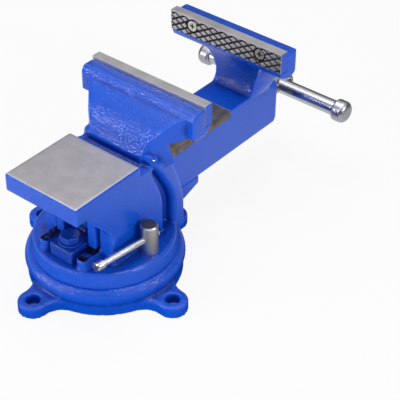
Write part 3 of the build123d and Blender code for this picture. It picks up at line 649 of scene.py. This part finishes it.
@dataclass(frozen=True)
class Steel:
    """Bare steel, turned or ground.

    Attributes:
        name: Name of the material.
        tone: Colour of the metal.
        stretch: Direction of the marks: they run along the axis with the smallest factor.
        rough: Lowest and highest roughness.
        depth: Depth of the marks.
        scale: Marks per metre.
        crown_z: Height above which black mill scale is left, or None.
        crown_tone: Colour of the mill scale.
        crown_rough: Its roughness.
    """

    name: str
    tone: Rgb
    stretch: Point = (1.0, 0.08, 0.08)
    rough: tuple[float, float] = (0.18, 0.30)
    depth: float = 0.03 * MM
    scale: float = 1500.0
    crown_z: float | None = None
    crown_tone: Rgb = (0.14, 0.13, 0.13)
    crown_rough: float = 0.42

    def material(self, groups: Groups) -> bpy.types.Material:
        """Build the material.

        Args:
            groups: Shared node groups.

        Returns:
            The finished material.
        """
        dimmer, bright, crown_gain = 0.82, 1.12, 4000.0
        material, bench, shader, place = start_material(self.name)
        marks = bench.group(groups.marks, Vector=place, Stretch=self.stretch, Scale=self.scale)
        rough = bench.group(
            groups.smudge, Vector=place, Scale=120.0, Low=self.rough[0], High=self.rough[1])[0]
        tone = bench.blend(marks["Tone"], scaled(self.tone, dimmer), scaled(self.tone, bright))
        if self.crown_z is not None:
            crown = bench.ramp(bench.split(place)[2], self.crown_z, crown_gain)
            tone = bench.blend(crown, tone, self.crown_tone)
            rough = bench.lerp(crown, rough, self.crown_rough)
        bench.feed(shader, {
            "Base Color": tone, "Metallic": 1.0, "Roughness": rough,
            "Normal": bench.bump(bench.times(marks["Height"], self.depth))})
        return material


@dataclass(frozen=True)
class CutPlate:
    """Hardened jaw plate: dark oxide in the grooves, bright ground lands and top.

    Attributes:
        name: Name of the material.
        land: Colour of the ground metal.
        oxide: Colour in the grooves.
        paint: Enamel that runs over the ends of the plate.
        land_rough: Lowest and highest roughness of the ground metal.
        oxide_rough: Roughness in the grooves.
        paint_rough: Roughness of the enamel.
        mark_depth: Depth of the grinding marks.
    """

    name: str
    land: Rgb = (0.56, 0.54, 0.565)
    oxide: Rgb = (0.010, 0.009, 0.012)
    paint: Rgb = BLUE
    land_rough: tuple[float, float] = (0.34, 0.48)
    oxide_rough: float = 0.6
    paint_rough: float = 0.3
    mark_depth: float = 0.05 * MM

    def material(self, groups: Groups) -> bpy.types.Material:
        """Build the material.

        Args:
            groups: Shared node groups.

        Returns:
            The finished material.
        """
        dimmer, bright, land_metal, oxide_metal, oxide_gain = 0.75, 1.2, 0.85, 0.2, 1.25
        low, high = self.land_rough
        material, bench, shader, place = start_material(self.name)
        marks = bench.group(groups.marks, Vector=place, Stretch=(0.08, 1.0, 1.0), Scale=1100.0)
        cloud = bench.group(groups.smudge, Vector=place, Scale=70.0, Low=low, High=high)[0]
        dark = bench.calc("MULTIPLY", bench.attribute("groove"), oxide_gain, clamp=True)
        end = bench.attribute("end")
        land = bench.blend(marks["Tone"], scaled(self.land, dimmer), scaled(self.land, bright))
        metal = bench.lerp(dark, land_metal, oxide_metal)
        rough = bench.lerp(dark, cloud, self.oxide_rough)
        bench.feed(shader, {
            "Base Color": bench.blend(end, bench.blend(dark, land, self.oxide), self.paint),
            "Metallic": bench.times(bench.calc("SUBTRACT", 1.0, end), metal),
            "Roughness": bench.lerp(end, rough, self.paint_rough),
            "Normal": bench.bump(bench.times(marks["Height"], self.mark_depth))})
        return material


# ---- castings ----------------------------------
@dataclass
class Casting:
    """A painted casting: the solid's surface, with its edges and roots softened.

    Attributes:
        node: Solid that the casting stands for.
        body: Body that it rides on.
        finish: Its enamel.
        slot: Material slot in the record; not used.
        voxel: Size of the cells of the rebuilt surface.
        passes: Smoothing passes; each softens the edges a little more.
        most: Most triangles that the piece may have.
        knobs: Centre and radii of the rounded lumps that the casting has.
    """

    node: str
    body: Body
    finish: Enamel
    slot: str
    voxel: float = 0.8 * MM
    passes: int = 4
    most: int = 185_000
    knobs: tuple[tuple[Point, Point], ...] = ()

    def build(self, frame: dict[str, Any], groups: Groups) -> bpy.types.Object:
        """Rebuild the surface of the solid on an even grid and soften it.

        Args:
            frame: The loaded model.
            groups: Shared node groups.

        Returns:
            The new piece.
        """
        mesh = frame["nodes"][self.node].data.copy()
        close_mesh(mesh)
        self._add_knobs(mesh)
        skin = self._finished(mesh, {
            "REMESH": {"mode": "VOXEL", "voxel_size": self.voxel, "adaptivity": 0.0},
            "SMOOTH": {"factor": 0.5, "iterations": self.passes}})
        # The widely spread hollow value sets where the enamel gets painted shade.
        mark_edges(skin, {"edge": (2, 0.22), "hollow": (26, -0.022)})
        triangles = 2 * len(skin.polygons)
        if triangles > self.most:
            skin = self._finished(skin, {
                "DECIMATE": {"ratio": self.most / triangles, "use_collapse_triangulate": True}})
        mark_facing(skin)
        piece = mesh_object(self.node + "_casting", skin, 180.0)
        dress(piece, self.finish.material(groups))
        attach(piece, self.body.value)
        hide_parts(self.node)
        LOG.info("%s: %d faces", piece.name, len(skin.polygons))
        return piece

    def _add_knobs(self, mesh: bpy.types.Mesh) -> None:
        """Join an ellipsoid to the mesh for each knob; the rebuilt surface merges them."""
        shape = bmesh.new()
        shape.from_mesh(mesh)
        for centre, radii in self.knobs:
            place = Matrix.Translation(centre) @ Matrix.Diagonal((*radii, 1.0))
            bmesh.ops.create_uvsphere(
                shape, u_segments=40, v_segments=20, radius=1.0, matrix=place)
        shape.to_mesh(mesh)
        shape.free()

    def _finished(self, mesh: bpy.types.Mesh, steps: dict[str, dict[str, Any]]) -> bpy.types.Mesh:
        """Run modifiers over a mesh.

        Args:
            mesh: Mesh to start from.
            steps: Settings of each kind of modifier, in their order.

        Returns:
            The mesh that comes out.
        """
        work = bpy.data.objects.new(self.node + "_work", mesh)
        bpy.context.scene.collection.objects.link(work)
        for kind, settings in steps.items():
            modifier = work.modifiers.new(kind.lower(), kind)
            for key, value in settings.items():
                setattr(modifier, key, value)
        done = work.evaluated_get(bpy.context.evaluated_depsgraph_get())
        result = bpy.data.meshes.new_from_object(done)
        bpy.data.objects.remove(work)
        return result


# ---- jaw plates --------------------------------
@dataclass
class JawPlate:
    """Hardened plate whose gripping face is cut into diamonds.

    Attributes:
        node: Solid that the plate stands for.
        body: Body that it rides on.
        outward: Direction from the gripping face into the plate, along Y.
        open_end: Sign of X at the end where the grooves run out, or 0 for none.
        pitch: Distance between grooves of one direction.
        slope_deg: Angle of the grooves to the long edge.
        offset: Shift of the second family of grooves, in pitches.
        groove_w: Width of a groove at the face.
        groove_d: Depth of a groove.
        land_top: Uncut band along the top edge.
        fade_top: Height over which the grooves run out below that band.
        land_end: Uncut band at a closed end.
        fade_end: Length over which the grooves run out before that band.
        half_w: Half the length of the plate.
        screw_x: Distance of each screw from the middle.
        screw_drop: Distance of the screws below the top.
        sink_r: Radius of the recess round a screw head.
        sink_d: Depth of that recess.
        sink_wall: Width of the recess's steep wall.
        bevel: Bevel of the plate's edges.
        step: Distance between points of the face.
    """

    node: str
    body: Body
    outward: float
    open_end: float = 0.0
    pitch: float = 4.45 * MM
    slope_deg: float = 30.0
    offset: float = 0.35
    groove_w: float = 1.7 * MM
    groove_d: float = 0.75 * MM
    land_top: float = 0.7 * MM
    fade_top: float = 0.6 * MM
    land_end: float = 0.5 * MM
    fade_end: float = 0.4 * MM
    half_w: float = 50.0 * MM
    screw_x: float = 30.4 * MM
    screw_drop: float = 7.1 * MM
    sink_r: float = 5.3 * MM
    sink_d: float = 2.6 * MM
    sink_wall: float = 0.35 * MM
    bevel: float = 0.35 * MM
    step: float = 0.25 * MM

    def depth(self, x: np.ndarray, z: np.ndarray, top: float) -> np.ndarray:
        """Depth of the face below its plane.

        A groove family with unit normal n has its centre lines where n . (x, z) is a
        whole number of pitches. At a distance d from the nearest line its depth is
        groove_d * (1 - (2 d / groove_w) ** 2), and the deeper family wins. The recess
        of a screw is a flat pocket with a steep wall.

        Args:
            x: Places along the jaw.
            z: Heights.
            top: Height of the plate's top.

        Returns:
            The depth at each place.
        """
        slope = math.radians(self.slope_deg)
        run, rise = math.sin(slope), math.cos(slope)
        cut = np.zeros_like(x)
        for side, shift in ((1.0, 0.0), (-1.0, self.offset)):
            across = (run * x * side + rise * (z - top)) / self.pitch + shift
            distance = np.abs(across - np.round(across)) * self.pitch
            cut = np.maximum(cut, 1.0 - (2.0 * distance / self.groove_w) ** 2)
        cut *= np.clip((top - self.land_top - z) / self.fade_top, 0.0, 1.0)
        for side in (-1.0, 1.0):
            if side != self.open_end:
                cut *= np.clip((self.half_w - self.land_end - side * x) / self.fade_end, 0.0, 1.0)
        sink = np.zeros_like(x)
        for centre in (-self.screw_x, self.screw_x):
            radius = np.hypot(x - centre, z - top + self.screw_drop)
            sink = np.maximum(sink, np.clip((self.sink_r - radius) / self.sink_wall, 0.0, 1.0))
        return np.maximum(self.groove_d * cut, self.sink_d * sink)

    def build(self, finish: CutPlate, groups: Groups, slot: str) -> bpy.types.Object:
        """Build the plate as a closed block with a cut face.

        Args:
            finish: Finish of the plate.
            groups: Shared node groups.
            slot: Material slot in the record; not used.

        Returns:
            The new piece.
        """
        low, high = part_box(self.node)
        face, back = (low.y, high.y) if self.outward > 0 else (high.y, low.y)
        inset, length, height = self.bevel, high.x - low.x, high.z - low.z
        xs = np.linspace(low.x + inset, high.x - inset, int(length / self.step))
        zs = np.linspace(low.z + inset, high.z - inset, int(height / self.step))
        x, z = np.meshgrid(xs, zs)
        depth = self.depth(x, z, high.z)
        rim_x, rim_z, rim_d = rim(x), rim(z), rim(depth)
        mid_x, mid_z = 0.5 * (low.x + high.x), 0.5 * (low.z + high.z)
        out_x = mid_x + (rim_x - mid_x) * (length / (length - 2 * inset))
        out_z = mid_z + (rim_z - mid_z) * (height / (height - 2 * inset))
        side_y = np.stack([
            face + self.outward * rim_d, face + self.outward * (rim_d + inset),
            np.full_like(out_x, back - self.outward * inset), np.full_like(rim_x, back)])
        surface = Surface()
        surface.grid(x, face + self.outward * depth, z)
        surface.grid(
            np.stack([rim_x, out_x, out_x, rim_x]), side_y,
            np.stack([rim_z, out_z, out_z, rim_z]), wrap_cols=True)
        surface.grid(x, back, z)
        piece = surface.build(self.node + "_cut", 40.0)
        self._mark_grooves(piece.data, face, high.z)
        dress(piece, finish.material(groups))
        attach(piece, self.body.value)
        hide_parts(self.node)
        LOG.info("%s: %d faces", piece.name, len(piece.data.polygons))
        return piece

    def _mark_grooves(self, mesh: bpy.types.Mesh, face: float, top: float) -> None:
        """Store how deep in a groove each point lies, and which points are painted ends."""
        full_depth, reach = 0.6 * self.groove_d, 1.2 * self.sink_d
        paint_edge, paint_fade = self.half_w - 0.25 * MM, 0.1 * MM
        x, y, z = read_rows(mesh.vertices, "co", 3).T
        depth = np.clip(self.depth(x, z, top) / full_depth, 0.0, 1.0)
        store(mesh, "groove", np.where(np.abs(y - face) < reach, depth, 0.0))
        beyond = np.where(x * self.open_end > 0.0, 0.0, np.abs(x) - paint_edge)
        store(mesh, "end", np.clip(beyond / paint_fade, 0.0, 1.0))


# ---- studio ------------------------------------
@dataclass(frozen=True)
class Lamp:
    """A square lamp that shines at the middle of the object.

    Attributes:
        name: Name of the lamp.
        place: Where it stands.
        size: Side of the square.
        watts: Power.
        shows: Whether it shows in glossy surfaces.
        lights: Whether it lights matt surfaces.
    """

    name: str
    place: Point
    size: float
    watts: float
    shows: bool = True
    lights: bool = True

    def build(self, aim: Point) -> None:
        """Put the lamp into the scene, turned to a point."""
        data = bpy.data.lights.new(self.name, "AREA")
        data.energy, data.size = self.watts, self.size
        lamp = bpy.data.objects.new(self.name, data)
        lamp.location = self.place
        lamp.visible_glossy, lamp.visible_diffuse = self.shows, self.lights
        beam = Vector(aim) - Vector(self.place)
        lamp.rotation_euler = beam.to_track_quat("-Z", "Y").to_euler()
        bpy.context.scene.collection.objects.link(lamp)


@dataclass
class Studio:
    """Floor, lamps, world and camera.

    Attributes:
        azimuth_deg: Direction of the camera about Z.
        elevation_deg: Height of the camera above the floor's plane.
        roll_deg: Turn of the picture about the line of sight.
        place: Where the camera stands.
        lens: Focal length, for the sensor's width.
        sensor: Width of the sensor, in millimetres.
        light: Strength of the world for diffuse light.
        horizon: Strength of the world at the horizon in reflections.
        zenith: Strength of the world overhead in reflections.
        lug_circle: Radius at which the four bolt holes stand over the floor.
        lug_deg: How far they are turned clockwise from the axes.
        hole_r: Radius of the dark floor under each hole.
        aim: Point that the lamps shine at.
        lamps: Soft lamps, then narrow ones that draw glints on the enamel.
    """

    azimuth_deg: float = 218.8196
    elevation_deg: float = 37.4366
    roll_deg: float = 0.6001
    place: Point = (-0.50985, 0.52892, 0.61765)
    lens: float = 122.116
    sensor: float = 36.0
    light: float = 0.17
    horizon: float = 0.10
    zenith: float = 0.9
    lug_circle: float = 66.4 * MM
    lug_deg: float = 5.0
    hole_r: float = 6.8 * MM
    aim: Point = (0.0, -0.03, 0.06)
    lamps: tuple[Lamp, ...] = (
        Lamp("overhead", (0.15, -0.10, 1.45), 0.9, 10.4),
        Lamp("rear_fill", (0.20, 1.35, 0.30), 0.6, 7.2, shows=False),
        Lamp("side_fill", (-1.35, 0.05, 0.34), 0.6, 5.4, shows=False),
        Lamp("left_strip", (0.80, 1.10, 0.38), 0.15, 5.4),
        Lamp("right_strip", (-1.30, 0.0, 0.55), 0.12, 3.0),
        Lamp("left_spark", (0.35, 1.20, 0.80), 0.07, 4.2, lights=False),
        Lamp("right_spark", (-1.20, -0.35, 0.80), 0.07, 4.2, lights=False))

    def axes(self) -> tuple[np.ndarray, np.ndarray, np.ndarray]:
        """Right, up and backward directions of the camera."""
        azimuth, elevation, roll = (
            math.radians(v) for v in (self.azimuth_deg, self.elevation_deg, self.roll_deg))
        sin, cos, flat = math.sin(azimuth), math.cos(azimuth), math.cos(elevation)
        back = np.array([sin * flat, -cos * flat, math.sin(elevation)])
        right = np.array([cos, sin, 0.0])
        up = np.cross(back, right)
        roll_sin, roll_cos = math.sin(roll), math.cos(roll)
        return roll_cos * right + roll_sin * up, roll_cos * up - roll_sin * right, back

    def camera(self) -> None:
        """Create the camera and make it the scene's own."""
        data = bpy.data.cameras.new("camera")
        data.lens, data.sensor_width, data.sensor_fit = self.lens, self.sensor, "HORIZONTAL"
        data.clip_start, data.clip_end = 0.01, 20.0
        rig = bpy.data.objects.new("camera", data)
        rows = np.column_stack([*self.axes(), self.place]).tolist()
        rig.matrix_world = Matrix([*rows, [0.0, 0.0, 0.0, 1.0]])
        bpy.context.scene.collection.objects.link(rig)
        bpy.context.scene.camera = rig

    def world(self) -> None:
        """Set a world that is white behind the object and dims low down in mirrors.

        In a mirror the strength is horizon + (zenith - horizon) * clamp(gain * z + start),
        with z the height of the direction looked in.
        """
        gain, start = 2.5, -1.0
        world = bpy.data.worlds.new("studio")
        world.use_nodes = True
        bpy.context.scene.world = world
        bench = Bench(world.node_tree)
        path = bench.add("ShaderNodeLightPath").outputs
        height = bench.split(bench.add("ShaderNodeTexCoord").outputs["Generated"])[2]
        rise = bench.calc("MULTIPLY_ADD", height, gain, start, clamp=True)
        mirror = bench.lerp(rise, self.horizon, self.zenith)
        strength = bench.lerp(path["Is Glossy Ray"], self.light, mirror)
        seen = bench.calc("MAXIMUM", path["Is Camera Ray"], path["Is Transmission Ray"])
        bench.feed(world.node_tree.nodes["Background"], {
            "Color": WHITE, "Strength": bench.lerp(seen, strength, 1.0)})

    def floor(self) -> None:
        """Lay a white floor that keeps a soft shadow.

        Mirrors see it glow less near the object and far off. Straight views see it
        nearly white, except under the bolt holes.
        """
        half, glow_share = 4.0, 0.90
        mesh = bpy.data.meshes.new("floor")
        corners = [(-half, -half, 0), (half, -half, 0), (half, half, 0), (-half, half, 0)]
        mesh.from_pydata(corners, [], [(0, 1, 2, 3)])
        floor = bpy.data.objects.new("floor", mesh)
        bpy.context.scene.collection.objects.link(floor)
        material, bench, shader, place = start_material("floor_white")
        bench.feed(shader, {
            "Base Color": (0.88, 0.88, 0.885), "Roughness": 0.9, "Specular IOR Level": 0.1})
        path = bench.add("ShaderNodeLightPath").outputs
        strength = bench.lerp(path["Is Glossy Ray"], 1.0, self._shine(bench, place))
        glow = bench.add("ShaderNodeEmission", {"Color": WHITE, "Strength": strength})
        seen = bench.calc("MAXIMUM", path["Is Camera Ray"], path["Is Transmission Ray"])
        seen = bench.times(bench.times(seen, self._open_floor(bench, place)), glow_share)
        share = bench.calc("MAXIMUM", seen, path["Is Glossy Ray"])
        mix = bench.add("ShaderNodeMixShader", {0: share, 1: shader.outputs[0], 2: glow.outputs[0]})
        bench.feed(material.node_tree.nodes["Material Output"], {"Surface": mix.outputs[0]})
        dress(floor, material)

    def _shine(self, bench: Bench, place: Socket) -> Socket:
        """Glow of the floor in mirrors: none under the object, most round it, then less."""
        near_r, near_gain, far_r, far_gain, far_glow, rest_glow = 0.078, 18.0, 0.60, 2.5, 0.75, 0.10
        away = bench.add("ShaderNodeVectorMath", {0: place}, operation="LENGTH").outputs["Value"]
        near = bench.ramp(away, near_r, near_gain)
        far = bench.ramp(away, far_r, -far_gain)
        return bench.times(near, bench.calc("MULTIPLY_ADD", far, far_glow, rest_glow))

    def _open_floor(self, bench: Bench, place: Socket) -> Socket:
        """Mask that is 0 under the bolt holes: four by symmetry, from one distance."""
        edge_gain = 900.0
        turned = bench.add("ShaderNodeVectorRotate", {
            "Vector": place, "Angle": math.radians(self.lug_deg)}, rotation_type="Z_AXIS")
        side = bench.split(bench.vector("ABSOLUTE", turned.outputs[0]))
        along = bench.calc("SUBTRACT", bench.calc("MAXIMUM", side[0], side[1]), self.lug_circle)
        across = bench.calc("MINIMUM", side[0], side[1])
        square = bench.calc("ADD", bench.times(along, along), bench.times(across, across))
        return bench.ramp(bench.calc("SQRT", square), self.hole_r, edge_gain)

    def build(self) -> None:
        """Set up the whole studio."""
        bpy.context.scene.view_settings.view_transform = "Standard"
        self.camera()
        self.floor()
        self.world()
        for lamp in self.lamps:
            lamp.build(self.aim)


# ---- the vise ----------------------------------
@dataclass
class Vise:
    """The whole vise: castings, plates and steel parts.

    Attributes:
        paint: Slot of the painted castings.
        plate: Slot of the jaw plates.
        ground: Colour of the anvil's ground face.
        wear_and_highlight: Colour of the slide's faces rubbed down to bare metal.
        grease_and_shade: Colour of the grease and painted shade on the ears beside the nut.
        cavity_shade: Colour inside the body, behind the nut: painted shade.
        dimmer: Darker paint of the nut, its washer and its bolt: painted shade under the anvil.
        knob: Centre and radii of the round boss at the top corner of the flange.
    """

    paint: str = "blue_enamel"
    plate: str = "hardened_plate"
    ground: Rgb = (0.46, 0.445, 0.475)
    wear_and_highlight: Rgb = (0.17, 0.145, 0.135)
    grease_and_shade: Rgb = (0.016, 0.015, 0.018)
    cavity_shade: Rgb = (0.0015, 0.004, 0.030)
    dimmer: Rgb = (0.002, 0.050, 0.40)
    knob: tuple[Point, Point] = ((-0.0250, -0.0345, 0.0822), (0.0070, 0.0068, 0.0074))

    def body_enamel(self) -> Enamel:
        """Enamel of the body: ground anvil, painted shade inside, and grease with painted shade on
        the ears.
        """
        ear_w = 0.0104
        # Painted shade: inside the body behind the nut the paint is darkened to near black, most
        # away from the box's faces.
        inside = Zone((-0.0204, -0.0345, 0.0405), (0.0204, 0.0330, 0.0840), self.cavity_shade, 0.3,
                      upward=False, soft=4.0 * MM)
        anvil = Zone((-0.0313, -0.0029, 0.0960), (0.0313, 0.0578, 0.0980), self.ground, 0.08)
        # Grease and painted shade: the tops of the ears are near black, in patches.
        ears = [
            Zone((x, 0.0080, 0.0340), (x + ear_w, 0.0440, 0.0460), self.grease_and_shade, 0.8,
                 soft=1.8 * MM, gaps=0.12)
            for x in (-0.0222, 0.0118)]
        return Enamel(
            "body_enamel", calm=0.7, stretch=(0.06, 1.0, 1.0), zones=(inside, anvil, *ears))

    def jaw_enamel(self) -> Enamel:
        """Enamel of the movable jaw: the top and the upper sides of its slide are rubbed down to
        bare metal.
        """
        top = Zone((-0.0185, -0.1170, 0.0755), (0.0185, 0.0290, 0.0780), self.wear_and_highlight, 0.55)
        sides = Zone(
            (-0.0185, -0.1170, 0.0712), (0.0185, 0.0290, 0.0778), self.wear_and_highlight, 0.55, upward=False)
        return Enamel("jaw_enamel", calm=0.8, zones=(top, sides))

    def castings(self) -> list[Casting]:
        """List the painted pieces."""
        # The nut, its washer and its bolt get the darker paint as painted shade under the anvil.
        nut, washer, bolt = (
            Enamel(f"{name}_enamel", tone=self.dimmer) for name in ("nut", "washer", "bolt"))
        table = Body.TURNTABLE
        return [
            Casting("swivel_base", Body.BASE, Enamel("base_enamel"), self.paint),
            Casting("vise_body", table, self.body_enamel(), self.paint, knobs=(self.knob,)),
            Casting("movable_jaw", Body.JAW, self.jaw_enamel(), self.paint),
            Casting("main_nut", table, nut, "painted_iron", voxel=0.6 * MM),
            Casting("nut_washer", table, washer, "painted_steel", voxel=0.35 * MM, passes=2),
            Casting("nut_bolt", table, bolt, "painted_steel", voxel=0.45 * MM)]

    def steel(self) -> dict[Steel, list[str]]:
        """List the steel finishes, each with the pieces that have it."""
        along_x = (0.05, 1.0, 1.0)
        spindle = Steel("spindle_steel", (0.50, 0.49, 0.50), (0.05, 1.0, 0.05))
        bar = Steel("bar_steel", (0.55, 0.55, 0.60), along_x, (0.20, 0.30))
        cap = Steel("cap_steel", (0.46, 0.46, 0.52), along_x, (0.30, 0.40))
        lock = Steel(
            "lock_steel", (0.72, 0.71, 0.73), (0.05, 0.05, 1.0), (0.20, 0.30), depth=0.01 * MM)
        lock_nut = Steel(
            "lock_nut_steel", (0.66, 0.64, 0.66), (1.0, 1.0, 0.04), (0.28, 0.40), crown_z=0.0547)
        oiled = Steel("oiled_steel", (0.16, 0.155, 0.15), rough=(0.32, 0.45))
        zinc = Steel("zinc_steel", (0.70, 0.68, 0.63), (0.2, 1.0, 0.2), (0.22, 0.34))
        return {
            spindle: ["spindle", "thrust_washer"],
            bar: ["handle_bar"],
            cap: ["handle_cap_left", "handle_cap_right"],
            lock: ["left_lock_bar", "right_lock_bar", "left_lock_bar_caps", "right_lock_bar_caps"],
            lock_nut: ["left_lock_nut", "right_lock_nut"],
            oiled: ["left_t_bolt", "right_t_bolt", "retaining_collar", "retaining_pin",
                    "return_spring"],
            zinc: ["fixed_plate_screws", "movable_plate_screws"]}

    def build(self, frame: dict[str, Any]) -> None:
        """Build and dress every piece.

        Args:
            frame: The loaded model.
        """
        groups = Groups()
        for casting in self.castings():
            casting.build(frame, groups)
        finish = CutPlate("cut_plate")
        for plate in (JawPlate("fixed_jaw_plate", Body.TURNTABLE, 1.0),
                      JawPlate("movable_jaw_plate", Body.JAW, -1.0, open_end=1.0)):
            plate.build(finish, groups, self.plate)
        for steel, nodes in self.steel().items():
            material = steel.material(groups)
            for node in nodes:
                dress(frame["nodes"][node], material)
            LOG.info("%s: %s", steel.name, ", ".join(nodes))


def main() -> None:
    """Load the model, dress it and light it."""
    logging.basicConfig(level=logging.INFO, format="%(name)s: %(message)s")
    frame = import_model()
    Studio().build()
    Vise().build(frame)


if __name__ == "__main__":
    main()
